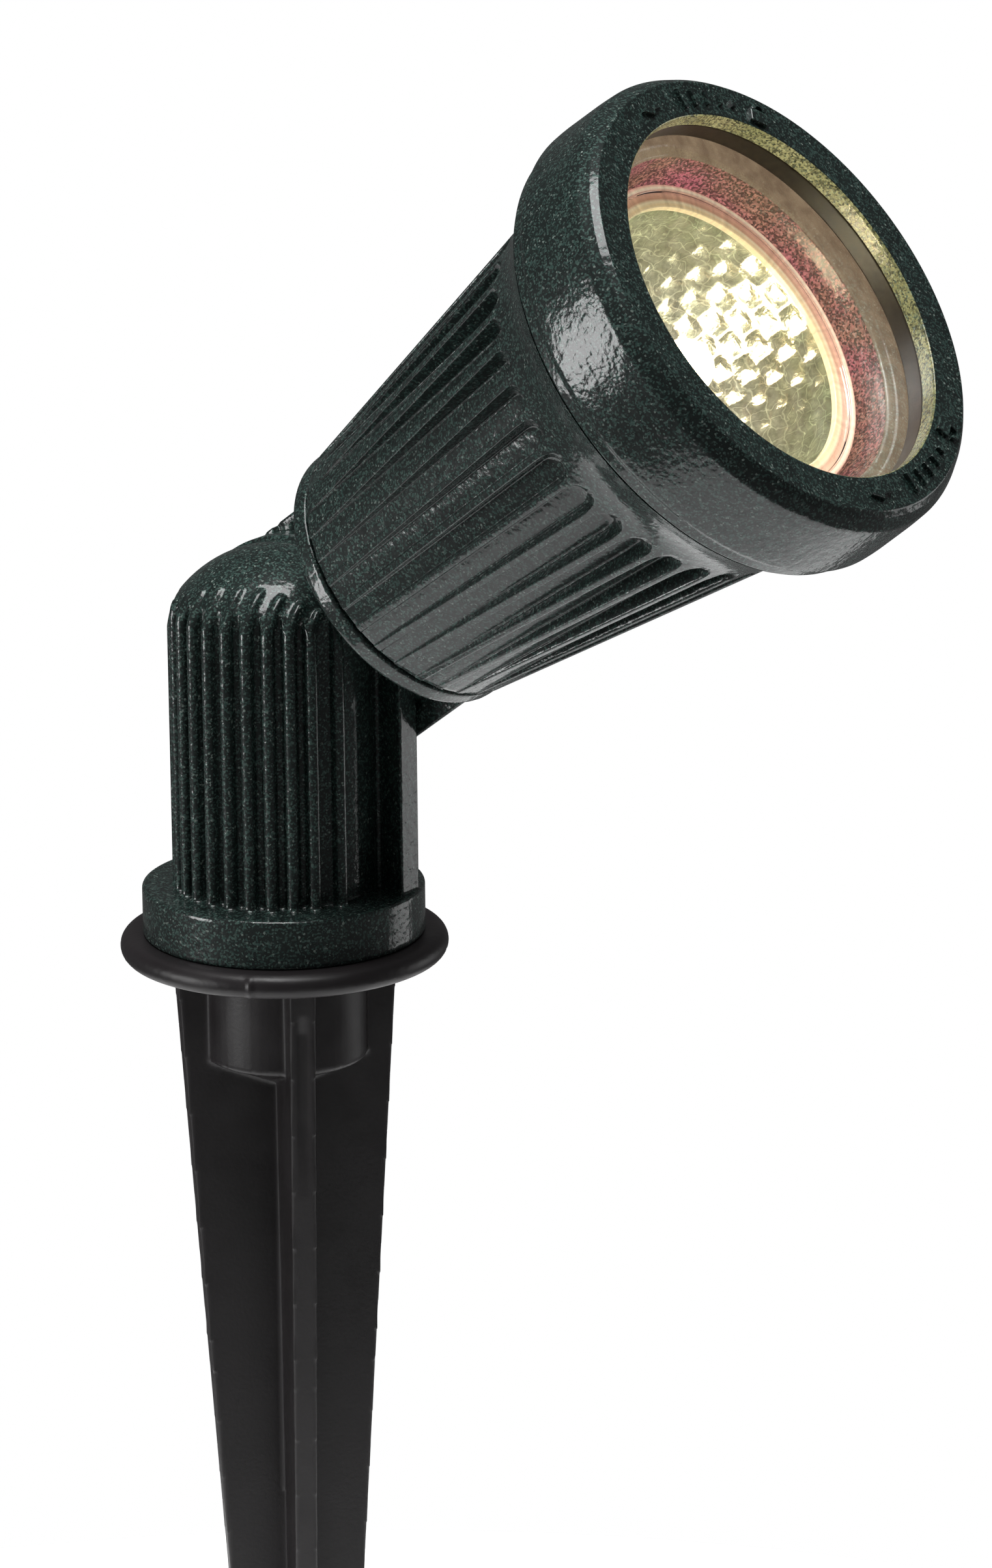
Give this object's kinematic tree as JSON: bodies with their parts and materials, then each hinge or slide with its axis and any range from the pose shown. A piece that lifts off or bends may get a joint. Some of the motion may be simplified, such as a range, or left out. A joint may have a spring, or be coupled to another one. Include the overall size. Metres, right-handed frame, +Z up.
{
  "type": "ground stake spotlight",
  "caption": "Low-voltage garden spotlight: ribbed cast lamp head with a turn-off front ring, on a tilting, swivelling knuckle and a plastic ground stake.",
  "frame": {"origin": "on the stake's axis at the underside of its flange, where the flange meets the soil", "axes": "+Z up along the stake's axis; the knuckle pivots about Y and the head leans towards +X at rest"},
  "size_m": [0.1356, 0.0744, 0.3553],
  "materials": {
    "powder_coat": "dark green powder coat with fine light flakes, semi-gloss, orange-peel texture",
    "black_plastic": "injection-moulded, satin",
    "black_rubber": "satin",
    "seal_rubber": "brown silicone, satin",
    "clear_glass": "clear, polished",
    "dichroic_glass": "faceted dichroic mirror",
    "lamp_quartz": "clear quartz",
    "tungsten": "glowing coil",
    "ceramic": "unglazed ceramic",
    "brass": "drawn",
    "zinc_steel": "zinc plated",
    "stainless": "stainless",
    "lead_sleeve": "glass-fibre sleeving"
  },
  "bodies": {
    "ground": {"stake": "black_plastic", "wire_grommet": "black_rubber"},
    "swivel": {"swivel_base": "powder_coat", "knuckle_o_ring": "black_rubber", "knuckle_screw": "stainless"},
    "head": {"rear_cap": "powder_coat", "rear_cap_gasket": "black_rubber", "cap_screws": "zinc_steel", "housing": "powder_coat", "wire_seal": "black_rubber", "lead_wires": "lead_sleeve", "socket_bracket": "zinc_steel", "bracket_screws": "zinc_steel", "lamp_socket": "ceramic", "socket_screws": "zinc_steel", "socket_contacts": "brass", "lamp_base": "ceramic", "lamp_pins": "zinc_steel", "lamp_capsule": "lamp_quartz", "lamp_filament": "tungsten", "lamp_reflector": "dichroic_glass", "lamp_cover_glass": "clear_glass"},
    "lens_pack": {"lens": "clear_glass", "lens_gasket": "seal_rubber"},
    "bezel": {"bezel": "powder_coat"}
  },
  "joints": [
    {"name": "base_swivel", "type": "hinge", "parent": "ground", "child": "swivel", "pos_m": [0, 0, 0.0038], "axis": [0, 0, 1], "range_deg": [-180, 180]},
    {"name": "head_tilt", "type": "hinge", "parent": "swivel", "child": "head", "pos_m": [0, 0, 0.0449], "axis": [0, 1, 0], "range_deg": [-143, 37]},
    {"name": "bezel_travel", "type": "slide", "parent": "head", "child": "lens_pack", "axis": [0.7986, 0, 0.6018], "range_m": [0, 0.00452]},
    {"name": "bezel_turn", "type": "hinge", "parent": "lens_pack", "child": "bezel", "pos_m": [0, 0, 0.0449], "axis": [0.7986, 0, 0.6018], "range_deg": [-540, 0]}
  ],
  "couplings": [
    {"joint": "bezel_travel", "follows": "bezel_turn", "m_per_rad": -0.00047746}
  ]
}
